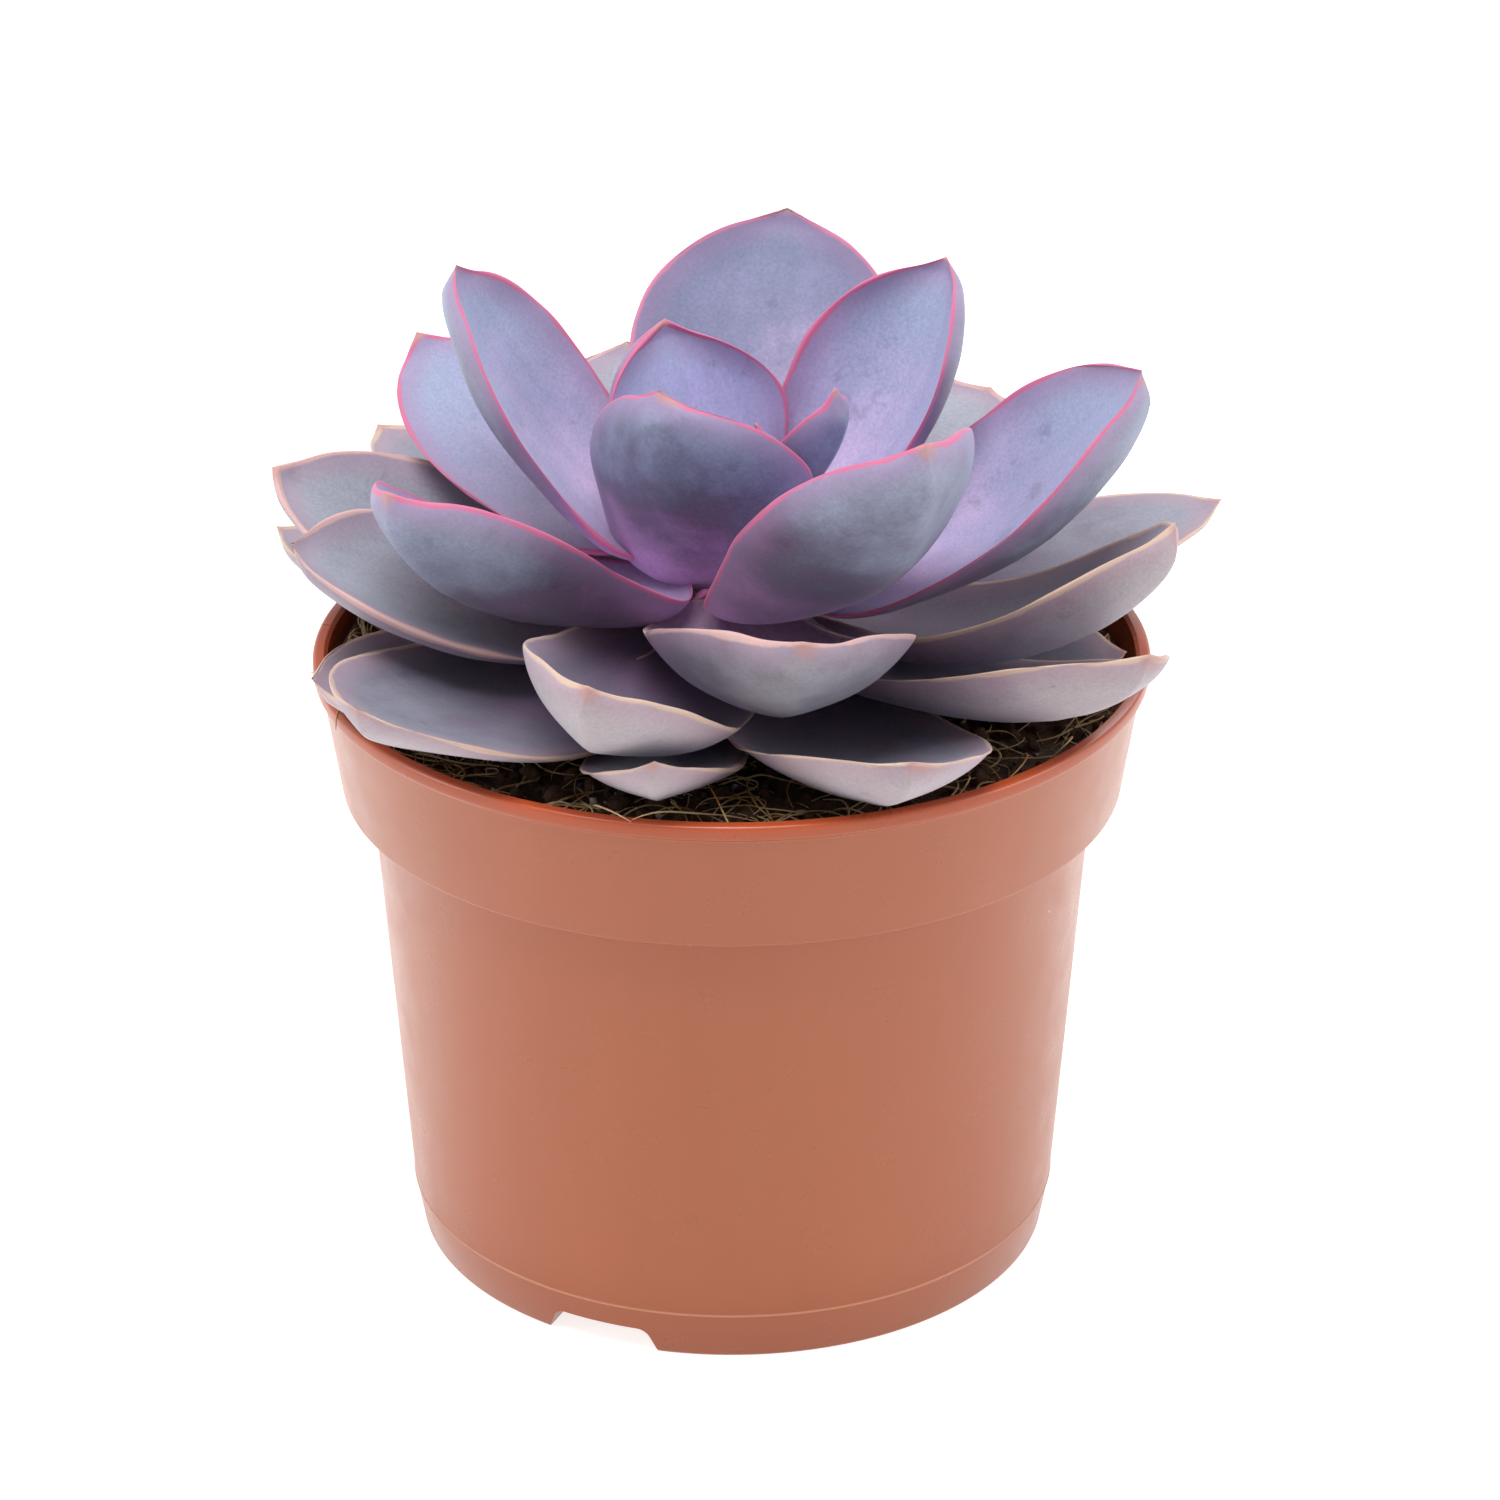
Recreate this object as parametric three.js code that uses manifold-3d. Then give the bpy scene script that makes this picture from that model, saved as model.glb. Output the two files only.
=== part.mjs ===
// A rosette succulent growing in a round plastic nursery pot.
// Millimetres, +Z up. The origin is on the pot's axis, in the plane that the pot stands on.

import * as THREE from 'three';
import { mergeVertices } from 'three/addons/utils/BufferGeometryUtils.js';
import Module from 'manifold-3d';

const wasm = await Module();
wasm.setup();

const DEGREE = Math.PI / 180;
const GAP = 0.3; // clearance between pieces that touch

// ---- pot ----------------------------------------------------------------------------

const POT_HEIGHT = 90.7;
const WALL = 1.6;
const FLOOR = 1.8;
const FOOT_RADIUS = 46.3;
const MOULD_LINE_HEIGHT = 7.4; // where the foot ends and the body's steeper taper starts
const MOULD_LINE_RADIUS = 47.6;
const BODY_TOP_RADIUS = 52.3;
const BAND_HEIGHT = 20; // the tall collar round the top
const BAND_BOTTOM_RADIUS = 56.3;
const BAND_TOP_RADIUS = 59;
const BAND_EDGE = 0.5; // the collar's lower edge hangs this far below the ledge
const LIP_RADIUS = 60; // the rounded bead on the collar's edge
const LIP_HEIGHT = 2.4;
const LIP_INNER_RADIUS = 57.4;
const POT_STEPS = 72;

const CHANNEL_COUNT = 3; // drainage channels pressed up into the floor, open at the foot
const CHANNEL_ANGLE = 246; // degrees from +X to the middle of the first channel
const CHANNEL_TOP_WIDTH = 14;
const CHANNEL_BOTTOM_WIDTH = 19;
const CHANNEL_HEIGHT = 3.8;
const CHANNEL_START = 22; // from the pot's axis to the channel's inner end
const DRAIN_RADIUS = 3.2;
const DRAIN_CIRCLES = [29, 39];

// ---- soil and stem ------------------------------------------------------------------

const SOIL_EDGE_LEVEL = 85;
const SOIL_MIDDLE_LEVEL = 82.6;
const STEM_RADIUS = 6.2;
const STEM_SHOULDER = 95; // above this the stem tapers into the heart of the rosette
const STEM_NECK = [3.7, 100];
const STEM_TIP = [1.3, 104];
const STEM_FOOT = 68; // how far down into the soil the stem reaches
const STEM_STEPS = 20;

// ---- leaves -------------------------------------------------------------------------

const LEAF_THICKNESS = 4;
const LEAF_MARGIN = 1.1; // thickness at the edges
const LEAF_BASE = 0.2; // width of the base, as a share of the full width
const LEAF_WIDEST = 0.6; // where along its length a leaf is widest
const LEAF_POINT = 1.2; // the small point at the tip
const LEAF_AROUND = 12;
const LEAF_ALONG = 12;

// Each leaf as it grew, from the heart outwards. Angles are in degrees, lengths in millimetres.
// azimuth: where the leaf points, from +X towards +Y. rise: its slope at the base. curl: how much
// steeper it is at the tip. cup: half the angle of the arc across it. start and height: its base,
// from the plant's axis and from the ground. roll: its twist. swing: how far the tip turns aside.
const LEAF_FIELDS = [
  'name', 'azimuth', 'rise', 'curl', 'length', 'width', 'cup', 'start', 'height', 'roll', 'swing',
];
const LEAF_TABLE = [
  ['leaf_bud_right',              30,    76,     4,    14,     8,    40,   1.6, 108.5,     0,     0],
  ['leaf_bud_left',              200,    80,     2,    13,     8,    40,   1.2,   107,     0,     0],
  ['leaf_heart_right',           315,    50,    13,    31,    18,    20,   2.5, 107.5,     4,     4],
  ['leaf_heart_back',            134,    61,    21,    33,    35,    62,   4.5,   103,    -8,   -12],
  ['leaf_heart_front',           252,    48,    31,    39,    38,    45,   4.5, 100.5,    12,   -31],
  ['leaf_inner_right',           303,    11,    53,    66,    44,    62,   6.5,   101,    12,   -17],
  ['leaf_crown_right',           345,     1,    67,    64,    41,    48,   8.5, 102.5,    17,    -2],
  ['leaf_crown_left',            165,    24,    53,    55,    32,    47,     6, 102.5,    -9,     9],
  ['leaf_crown_back',             79,    45,    16,    52,    42,    31,     6, 100.5,     5,    -4],
  ['leaf_crown_back_right',       26,    33,    44,    49,    34,    73,     6, 103.5,    23,    -7],
  ['leaf_mid_right_back',         21,     7,     9,    66,    32,     6,   7.5,    91,    -2,   -14],
  ['leaf_mid_back_left',         142,    13,    21,    55,    36,    10,     7,   101,    -3,     0],
  ['leaf_mid_left_front',        213,     5,    51,    62,    39,    58,     7,    97,     4,    14],
  ['leaf_mid_right',             337,   -17,    74,    65,    34,    40,     8,    97,    -6,     2],
  ['leaf_mid_front',             279,    -6,    54,    60,    42,    48,     7,  95.5,    -5,    -1],
  ['leaf_mid_back_right',         57,    15,    -8,    61,    36,    50,     7,  95.5,     5,    -4],
  ['leaf_mid_left',              204,     3,    31,    60,    33,    33,     7,    95,   -15,   -11],
  ['leaf_mid_left_back',         173,     3,    32,    61,    32,    33,   7.5,  93.5,   -18,     1],
  ['leaf_mid_back',              105,    12,    11,    60,    36,    39,     7,  93.5,     0,    -2],
  ['leaf_low_front_left',        245,   -11,    56,    69,    35,    48,     7,    94,   -19,    22],
  ['leaf_low_right_front',       325,    -9,    46,    70,    35,    26,     7,  92.5,   -13,   -14],
  ['leaf_low_left_front',        218,    -6,    35,    70,    35,    16,     7,  91.5,   -12,    23],
  ['leaf_low_back_left',         135,     7,     8,    65,    33,    30,   7.5,    91,     4,     4],
  ['leaf_low_front_right',       296,   -12,    46,    65,    36,    25,     7,  89.5,    -5,   -14],
  ['leaf_low_front',             252,   -12,    46,    59,    23,     6,     7,  89.5,     2,    20],
  ['leaf_low_left',              208,    -6,    30,    58,    31,    20,     7,  88.5,   -13,    -2],
  ['leaf_low_right',             351,     2,     5,    48,    28,     7,     7,  87.5,     9,     6],
  ['leaf_bottom_back_left',      117,    -1,    18,    58,    31,    30,     7,    89,   -10,    -2],
  ['leaf_bottom_back_right',      36,    -1,    24,    59,    31,    28,     7,  87.5,    14,     1],
  ['leaf_bottom_left_back',      163,     0,    24,    62,    33,    26,   7.5,  86.5,     5,     1],
  ['leaf_bottom_back',            76,     1,    23,    61,    31,    25,     7,  86.5,     3,     0],
];

// ---- shared helpers -----------------------------------------------------------------

function material(color, roughness) {
  return new THREE.MeshStandardMaterial({ color, roughness, metalness: 0 });
}

function named(name, geometry, look) {
  const mesh = new THREE.Mesh(geometry, look);
  mesh.name = name;
  return mesh;
}

// Merges the vertices that share a place and drops the empty triangles left at the poles.
function weld(geometry) {
  geometry.deleteAttribute('normal');
  geometry.deleteAttribute('uv');
  const welded = mergeVertices(geometry, 1e-4);
  const corners = welded.index.array;
  const kept = [];
  for (let i = 0; i < corners.length; i += 3) {
    const [a, b, c] = corners.slice(i, i + 3);
    if (a !== b && b !== c && c !== a) {
      kept.push(a, b, c);
    }
  }
  welded.setIndex(kept);
  return welded;
}

// A profile of [radius, height] points, turned about the Z axis.
function turned(profile, steps) {
  const points = profile.map(([radius, height]) => new THREE.Vector2(radius, height));
  return weld(new THREE.LatheGeometry(points, steps).rotateX(Math.PI / 2));
}

function solid(geometry) {
  const vertProperties = new Float32Array(geometry.getAttribute('position').array);
  const triVerts = new Uint32Array(geometry.index.array);
  return new wasm.Manifold(new wasm.Mesh({ numProp: 3, vertProperties, triVerts }));
}

function fromSolid(shape) {
  const mesh = shape.getMesh();
  const geometry = new THREE.BufferGeometry();
  geometry.setAttribute('position', new THREE.BufferAttribute(mesh.vertProperties, 3));
  geometry.setIndex(new THREE.BufferAttribute(mesh.triVerts, 1));
  return geometry;
}

// ---- pot ----------------------------------------------------------------------------

const BAND_BOTTOM = POT_HEIGHT - BAND_HEIGHT;
const LIP_BOTTOM = POT_HEIGHT - LIP_HEIGHT;
const LEDGE = BAND_BOTTOM + BAND_EDGE + WALL; // the step inside, where the collar widens out

// The pot's outside as one full shape, from the middle of its underside to the middle of its top.
function potOutside() {
  const lipMiddle = POT_HEIGHT - LIP_HEIGHT / 2;
  return turned([
    [0, 0],
    [FOOT_RADIUS - 0.8, 0],
    [FOOT_RADIUS, 0.8],
    [MOULD_LINE_RADIUS, MOULD_LINE_HEIGHT],
    [BODY_TOP_RADIUS, BAND_BOTTOM + BAND_EDGE],
    [BAND_BOTTOM_RADIUS - 1.2, BAND_BOTTOM + BAND_EDGE],
    [BAND_BOTTOM_RADIUS - 1, BAND_BOTTOM],
    [BAND_BOTTOM_RADIUS - 0.2, BAND_BOTTOM],
    [BAND_BOTTOM_RADIUS, BAND_BOTTOM + 0.3],
    [BAND_TOP_RADIUS, LIP_BOTTOM],
    [LIP_RADIUS - 0.2, LIP_BOTTOM + 0.3],
    [LIP_RADIUS, lipMiddle],
    [LIP_RADIUS - 0.4, POT_HEIGHT - 0.4],
    [LIP_RADIUS - 1.2, POT_HEIGHT],
    [0, POT_HEIGHT],
  ], POT_STEPS);
}

// The radius of the pot's inside at the mould line, the ledge and the collar, less a clearance.
function insideProfile(clearance, top) {
  return [
    [0, FLOOR + clearance],
    [FOOT_RADIUS - WALL - clearance, FLOOR + clearance],
    [MOULD_LINE_RADIUS - WALL - clearance, MOULD_LINE_HEIGHT],
    [BODY_TOP_RADIUS - WALL - clearance, LEDGE + clearance],
    [BAND_BOTTOM_RADIUS - WALL - clearance, LEDGE + clearance],
    ...top,
  ];
}

function potInside() {
  return turned(insideProfile(0, [
    [LIP_INNER_RADIUS, LIP_BOTTOM],
    [LIP_INNER_RADIUS, POT_HEIGHT - 0.5],
    [LIP_INNER_RADIUS + 0.5, POT_HEIGHT],
    [LIP_INNER_RADIUS + 0.5, POT_HEIGHT + 1],
    [0, POT_HEIGHT + 1],
  ]), POT_STEPS);
}

// One drainage channel as a bar with sloping sides, from its inner end out through the foot.
function channel(index, thickness) {
  const outline = new THREE.Shape([
    new THREE.Vector2(-CHANNEL_BOTTOM_WIDTH / 2 - thickness, -1),
    new THREE.Vector2(CHANNEL_BOTTOM_WIDTH / 2 + thickness, -1),
    new THREE.Vector2(CHANNEL_TOP_WIDTH / 2 + thickness, CHANNEL_HEIGHT + thickness),
    new THREE.Vector2(-CHANNEL_TOP_WIDTH / 2 - thickness, CHANNEL_HEIGHT + thickness),
  ]);
  const depth = FOOT_RADIUS + 4 - CHANNEL_START + thickness;
  const bar = new THREE.ExtrudeGeometry(outline, { depth, bevelEnabled: false });
  bar.translate(0, 0, CHANNEL_START - thickness);
  bar.rotateX(Math.PI / 2).rotateZ(Math.PI);
  bar.rotateZ((CHANNEL_ANGLE - 90 + (360 / CHANNEL_COUNT) * index) * DEGREE);
  return solid(weld(bar));
}

function drain(index, circle) {
  const angle = (CHANNEL_ANGLE + (360 / CHANNEL_COUNT) * index) * DEGREE;
  const hole = new THREE.CylinderGeometry(DRAIN_RADIUS, DRAIN_RADIUS, 4 * CHANNEL_HEIGHT, 16);
  hole.rotateX(Math.PI / 2);
  hole.translate(circle * Math.cos(angle), circle * Math.sin(angle), 0);
  return solid(weld(hole));
}

function potGeometry() {
  let hollow = solid(potInside());
  for (let index = 0; index < CHANNEL_COUNT; index += 1) {
    hollow = hollow.subtract(channel(index, WALL));
  }
  let pot = solid(potOutside()).subtract(hollow);
  for (let index = 0; index < CHANNEL_COUNT; index += 1) {
    pot = pot.subtract(channel(index, 0));
    for (const circle of DRAIN_CIRCLES) {
      pot = pot.subtract(drain(index, circle));
    }
  }
  return fromSolid(pot);
}

// ---- soil ---------------------------------------------------------------------------

// The soil fills the pot to just under the lip. It is a little hollow under the rosette, with a
// socket for the stem, and it lies round the drainage channels.
function soilGeometry() {
  const socket = STEM_RADIUS + GAP;
  const flare = (LIP_INNER_RADIUS - BAND_BOTTOM_RADIUS + WALL) / (LIP_BOTTOM - LEDGE);
  const edge = BAND_BOTTOM_RADIUS - WALL - GAP + flare * (SOIL_EDGE_LEVEL - LEDGE);
  let soil = solid(turned(insideProfile(GAP, [
    [edge, SOIL_EDGE_LEVEL],
    [edge * 0.7, SOIL_EDGE_LEVEL - 0.3],
    [edge * 0.35, SOIL_MIDDLE_LEVEL],
    [socket, SOIL_MIDDLE_LEVEL],
    [socket, STEM_FOOT - GAP],
    [0, STEM_FOOT - GAP],
  ]), POT_STEPS));
  for (let index = 0; index < CHANNEL_COUNT; index += 1) {
    soil = soil.subtract(channel(index, WALL + GAP));
  }
  return fromSolid(soil);
}

// ---- stem ---------------------------------------------------------------------------

function stemGeometry() {
  return turned([
    [0, STEM_FOOT],
    [STEM_RADIUS * 0.7, STEM_FOOT],
    [STEM_RADIUS, STEM_FOOT + 3],
    [STEM_RADIUS, STEM_SHOULDER],
    STEM_NECK,
    STEM_TIP,
    [0, STEM_TIP[1] + 0.3],
  ], STEM_STEPS);
}

// ---- leaves -------------------------------------------------------------------------

// Half the width of a leaf as a share of its greatest half width, from base (0) to tip (1).
function leafOutline(along) {
  if (along < LEAF_WIDEST) {
    const swell = Math.sin((along / LEAF_WIDEST) * (Math.PI / 2)) ** 1.3;
    return LEAF_BASE + (1 - LEAF_BASE) * swell;
  }
  const beyond = (along - LEAF_WIDEST) / (1 - LEAF_WIDEST);
  return Math.sqrt(Math.max(0, 1 - beyond * beyond));
}

function leafDirection(leaf, along) {
  const slope = (leaf.rise + leaf.curl * along) * DEGREE;
  const heading = (leaf.azimuth + leaf.swing * along) * DEGREE;
  const level = Math.cos(slope);
  return new THREE.Vector3(level * Math.cos(heading), level * Math.sin(heading), Math.sin(slope));
}

// One station for each ring of the leaf's surface: its place on the midrib, the directions across
// and above the leaf there, and its share of the full width. Stations crowd towards the tip.
function leafStations(leaf) {
  const stations = [];
  const base = leaf.azimuth * DEGREE;
  const at = new THREE.Vector3(Math.cos(base) * leaf.start, Math.sin(base) * leaf.start, leaf.height);
  let before = 0;
  for (let ring = 0; ring <= LEAF_ALONG; ring += 1) {
    const along = Math.sin((ring / LEAF_ALONG) * (Math.PI / 2));
    at.addScaledVector(leafDirection(leaf, (along + before) / 2), (along - before) * leaf.length);
    const direction = leafDirection(leaf, along);
    const side = new THREE.Vector3(-direction.y, direction.x, 0).normalize();
    const across = side.applyAxisAngle(direction, leaf.roll * DEGREE);
    const above = new THREE.Vector3().crossVectors(direction, across);
    stations.push({ at: at.clone(), across, above, share: leafOutline(along) });
    before = along;
  }
  stations[LEAF_ALONG].at.addScaledVector(leafDirection(leaf, 1), LEAF_POINT);
  return stations;
}

// How far the surface stands above (+) or below (-) the leaf's arc, at a turn round its section:
// thin at the edges, nearly flat above and full below.
function leafDepth(share, turn) {
  const rise = Math.sin(turn);
  const margin = (LEAF_MARGIN / 2) * rise;
  const belly = rise < 0 ? (LEAF_THICKNESS - LEAF_MARGIN) * rise * rise : 0;
  return (margin - belly) * Math.sqrt(share);
}

// A sphere is drawn out into the leaf. Its poles become the base and the tip, and each of its
// rings becomes a lens-shaped section bent to the leaf's cup.
function leafGeometry(leaf) {
  const form = weld(new THREE.SphereGeometry(1, LEAF_AROUND, LEAF_ALONG));
  const points = form.getAttribute('position');
  const stations = leafStations(leaf);
  const cup = leaf.cup * DEGREE;
  for (let i = 0; i < points.count; i += 1) {
    const polar = Math.acos(THREE.MathUtils.clamp(points.getY(i), -1, 1));
    const station = stations[Math.round((polar / Math.PI) * LEAF_ALONG)];
    const turn = Math.atan2(points.getZ(i), points.getX(i));
    const bend = cup * Math.cos(turn);
    const arc = ((leaf.width / 2) * station.share) / cup;
    const radius = arc - leafDepth(station.share, turn);
    const point = station.at.clone();
    point.addScaledVector(station.across, radius * Math.sin(bend));
    point.addScaledVector(station.above, arc - radius * Math.cos(bend));
    points.setXYZ(i, point.x, point.y, point.z);
  }
  return form;
}

function leafFromRow(row) {
  return Object.fromEntries(LEAF_FIELDS.map((field, column) => [field, row[column]]));
}

// ---- the whole plant in its pot -----------------------------------------------------

const terracottaPlastic = material('#ac684e', 0.35);
const peat = material('#33231a', 0.95);
const bark = material('#7a6a4c', 0.8);
const leafSkin = material('#8f8a9e', 0.55);

const model = new THREE.Group();
model.add(named('pot', potGeometry(), terracottaPlastic));
model.add(named('soil', soilGeometry(), peat));
model.add(named('stem', stemGeometry(), bark));
for (const leaf of LEAF_TABLE.map(leafFromRow)) {
  model.add(named(leaf.name, leafGeometry(leaf), leafSkin));
}

export default model;
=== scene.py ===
import math
import random

import bmesh
import bpy
from mathutils import Euler, Matrix, Vector, kdtree, noise


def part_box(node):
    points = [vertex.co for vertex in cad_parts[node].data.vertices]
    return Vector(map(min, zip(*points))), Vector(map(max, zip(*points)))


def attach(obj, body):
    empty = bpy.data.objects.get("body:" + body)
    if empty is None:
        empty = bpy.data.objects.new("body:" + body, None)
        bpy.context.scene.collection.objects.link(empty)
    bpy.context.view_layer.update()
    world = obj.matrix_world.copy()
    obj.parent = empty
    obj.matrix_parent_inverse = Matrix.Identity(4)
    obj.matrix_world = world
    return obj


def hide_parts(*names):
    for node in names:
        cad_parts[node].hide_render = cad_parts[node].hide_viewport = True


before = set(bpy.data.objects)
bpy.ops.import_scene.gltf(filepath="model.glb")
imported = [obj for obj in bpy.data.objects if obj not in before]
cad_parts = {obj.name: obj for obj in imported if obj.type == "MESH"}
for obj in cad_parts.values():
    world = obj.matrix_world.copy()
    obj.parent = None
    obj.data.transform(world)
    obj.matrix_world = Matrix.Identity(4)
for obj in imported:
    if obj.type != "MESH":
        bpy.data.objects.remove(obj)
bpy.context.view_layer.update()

MM = 0.001

# ---- Camera -------------------------------------------------------------------------
# A long lens looks down at the potted plant from a little above. The pot's axis stands just left
# of the middle of the picture, and the plant's middle stands a little below it.

CAMERA_DISTANCE = 780 * MM
CAMERA_ELEVATION = math.radians(27.07)
CAMERA_DIP = math.radians(25.17)
CAMERA_YAW = math.radians(0.216)

pot_low, pot_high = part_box("pot")
pot_middle = (pot_low + pot_high) / 2
lens = bpy.data.cameras.new("camera")
lens.sensor_width = 36
lens.lens = 127.2
lens.clip_start = 0.05
lens.clip_end = 20
camera = bpy.data.objects.new("camera", lens)
away = Vector((0, -math.cos(CAMERA_ELEVATION), math.sin(CAMERA_ELEVATION)))
camera.location = pot_middle + CAMERA_DISTANCE * away
camera.rotation_euler = (math.radians(90) - CAMERA_DIP, 0, -CAMERA_YAW)
bpy.context.scene.collection.objects.link(camera)
bpy.context.scene.camera = camera

# ---- Pot ----------------------------------------------------------------------------
# An injection-moulded polypropylene nursery pot: a tapered body with a tall collar, a rounded lip
# and three drainage channels pressed up into its floor. It is turned from its profile, and the
# channels and drains are cut afterwards.

WALL = 1.6 * MM
POT_FLOOR = 1.8 * MM
POT_STEPS = 240
CHANNELS = 3
CHANNEL_DIRECTION = 246 # degrees from +X of the first channel
DRAIN_RADIUS = 3.2 * MM
DRAIN_CIRCLES = (29 * MM, 39 * MM)
pot_height = pot_high.z
lip_radius = (pot_high.x - pot_low.x) / 2
foot_radius = lip_radius - 13.7 * MM
mould_line = Vector((lip_radius - 12.4 * MM, 7.4 * MM))
body_top_radius = lip_radius - 7.7 * MM
collar_bottom = pot_height - 20 * MM
collar_bottom_radius = lip_radius - 3.7 * MM
collar_top_radius = lip_radius - 1 * MM
lip_bottom = pot_height - 2.4 * MM
lip_inner_radius = lip_radius - 2.1 * MM
ledge = collar_bottom + 0.5 * MM


def linear(code):
    """An sRGB colour written as hex, turned to the linear colour that a shader takes."""
    parts = [int(code[i:i + 2], 16) / 255 for i in (1, 3, 5)]
    return [p / 12.92 if p <= 0.04045 else ((p + 0.055) / 1.055) ** 2.4 for p in parts] + [1]


def add_node(tree, kind, inputs=None, **settings):
    """Adds a shader node with its settings, its input values and the links into it."""
    made = tree.nodes.new(kind)
    for name, value in settings.items():
        setattr(made, name, value)
    for key, value in (inputs or {}).items():
        if isinstance(value, bpy.types.NodeSocket):
            tree.links.new(value, made.inputs[key])
        else:
            made.inputs[key].default_value = value
    return made


def new_material(name):
    """An empty material and its node tree."""
    made = bpy.data.materials.new(name)
    made.use_nodes = True
    made.node_tree.nodes.clear()
    return made, made.node_tree


def keep_mesh(name, form, material, replaced=()):
    """Turns a bmesh into a finished piece that rides on the plant's one body."""
    mesh = bpy.data.meshes.new(name)
    form.to_mesh(mesh)
    form.free()
    piece = bpy.data.objects.new(name, mesh)
    bpy.context.scene.collection.objects.link(piece)
    mesh.materials.append(material)
    mesh.shade_smooth()
    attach(piece, "root")
    if replaced:
        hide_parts(*replaced)
    return piece


def applied(piece):
    """The piece with its modifiers worked into its mesh."""
    view = bpy.context.evaluated_depsgraph_get()
    mesh = bpy.data.meshes.new_from_object(piece.evaluated_get(view))
    piece.modifiers.clear()
    piece.data = mesh
    return piece


def turned_form(profile, steps):
    """A closed shape turned about the Z axis from (radius, height) points that start and end on it."""
    form = bmesh.new()
    points = [form.verts.new((radius, 0, height)) for radius, height in profile]
    for first, second in zip(points, points[1:]):
        form.edges.new((first, second))
    bmesh.ops.spin(
        form, geom=form.verts[:] + form.edges[:], cent=(0, 0, 0), axis=(0, 0, 1),
        angle=2 * math.pi, steps=steps, use_merge=True,
    )
    bmesh.ops.remove_doubles(form, verts=form.verts, dist=0.005 * MM)
    bmesh.ops.recalc_face_normals(form, faces=form.faces)
    return form


def rounded_rings(form, sharpest, offset):
    """Bevels the rings of a turned shape where its profile turns by more than an angle."""
    rings = [
        edge for edge in form.edges
        if len(edge.link_faces) == 2 and edge.calc_face_angle() > sharpest
        and abs(edge.verts[0].co.z - edge.verts[1].co.z) < 0.001 * MM
        and edge.verts[0].co.xy.length > 5 * MM
        and abs(edge.verts[0].co.z - mould_line.y) > MM
    ]
    bmesh.ops.bevel(
        form, geom=rings, offset=offset, segments=3, profile=0.5, affect="EDGES", material=-1,
    )


def scratch_object(form):
    """Turns a bmesh into an object that is only used to cut, and isn't kept."""
    mesh = bpy.data.meshes.new("tool")
    form.to_mesh(mesh)
    form.free()
    made = bpy.data.objects.new("tool", mesh)
    bpy.context.scene.collection.objects.link(made)
    return made


def boolean(piece, tool, operation):
    """Cuts or joins one scratch object with another, which is then thrown away."""
    cut = piece.modifiers.new("cut", "BOOLEAN")
    cut.object = tool
    cut.operation = operation
    cut.solver = "EXACT"
    bpy.context.view_layer.update()
    applied(piece)
    bpy.data.objects.remove(tool)
    return piece


def channel_bar(index, thickness):
    """One of the three drainage channels as a rounded bar with sloping sides, open past the foot."""
    form = bmesh.new()
    for vert in bmesh.ops.create_cube(form, size=1)["verts"]:
        top = vert.co.z > 0
        half_width = (7 * MM if top else 9.5 * MM) + thickness
        vert.co.x = math.copysign(half_width, vert.co.x)
        vert.co.y = -foot_radius - 5 * MM if vert.co.y < 0 else thickness - 22 * MM
        vert.co.z = 3.8 * MM + thickness if top else -2 * MM
    along = [
        edge for edge in form.edges
        if all(vert.co.z > 0 for vert in edge.verts)
        and abs(edge.verts[0].co.x - edge.verts[1].co.x) < MM
    ]
    bmesh.ops.bevel(
        form, geom=along, offset=1.2 * MM, segments=4, profile=0.5, affect="EDGES", material=-1,
    )
    turn = Matrix.Rotation(math.radians(CHANNEL_DIRECTION - 270 + 360 / CHANNELS * index), 3, "Z")
    bmesh.ops.rotate(form, verts=form.verts, cent=(0, 0, 0), matrix=turn)
    return scratch_object(form)


def drain_rods():
    """Round rods where the drains go: two in the roof of each channel."""
    form = bmesh.new()
    for index in range(CHANNELS):
        angle = math.radians(CHANNEL_DIRECTION + 360 / CHANNELS * index)
        for circle in DRAIN_CIRCLES:
            place = Matrix.Translation((circle * math.cos(angle), circle * math.sin(angle), 0))
            bmesh.ops.create_cone(
                form, cap_ends=True, segments=32, radius1=DRAIN_RADIUS, radius2=DRAIN_RADIUS,
                depth=30 * MM, matrix=place,
            )
    return scratch_object(form)


outside = turned_form([
    (0, 0),
    (foot_radius, 0),
    (mould_line.x - 0.03 * MM, mould_line.y - 0.15 * MM),
    (mould_line.x + 0.09 * MM, mould_line.y - 0.04 * MM),
    (mould_line.x + 0.09 * MM, mould_line.y + 0.12 * MM),
    (mould_line.x + 0.02 * MM, mould_line.y + 0.24 * MM),
    (body_top_radius, ledge),
    (collar_bottom_radius - 1.1 * MM, ledge),
    (collar_bottom_radius - 1 * MM, collar_bottom),
    (collar_bottom_radius, collar_bottom),
    (collar_top_radius, lip_bottom),
    (lip_radius, lip_bottom + 0.2 * MM),
    (lip_radius, pot_height),
    (0, pot_height),
], POT_STEPS)
rounded_rings(outside, math.radians(30), 0.55 * MM)
inside = turned_form([
    (0, POT_FLOOR),
    (foot_radius - WALL, POT_FLOOR),
    (mould_line.x - WALL, mould_line.y),
    (body_top_radius - WALL, ledge + WALL),
    (collar_bottom_radius - WALL, ledge + WALL),
    (lip_inner_radius, lip_bottom),
    (lip_inner_radius, pot_height - 0.5 * MM),
    (lip_inner_radius + 0.5 * MM, pot_height),
    (lip_inner_radius + 0.5 * MM, pot_height + MM),
    (0, pot_height + MM),
], POT_STEPS)
pot_shell = scratch_object(outside)
hollow = scratch_object(inside)
for index in range(CHANNELS):
    boolean(hollow, channel_bar(index, WALL), "DIFFERENCE")
boolean(pot_shell, hollow, "DIFFERENCE")
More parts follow.
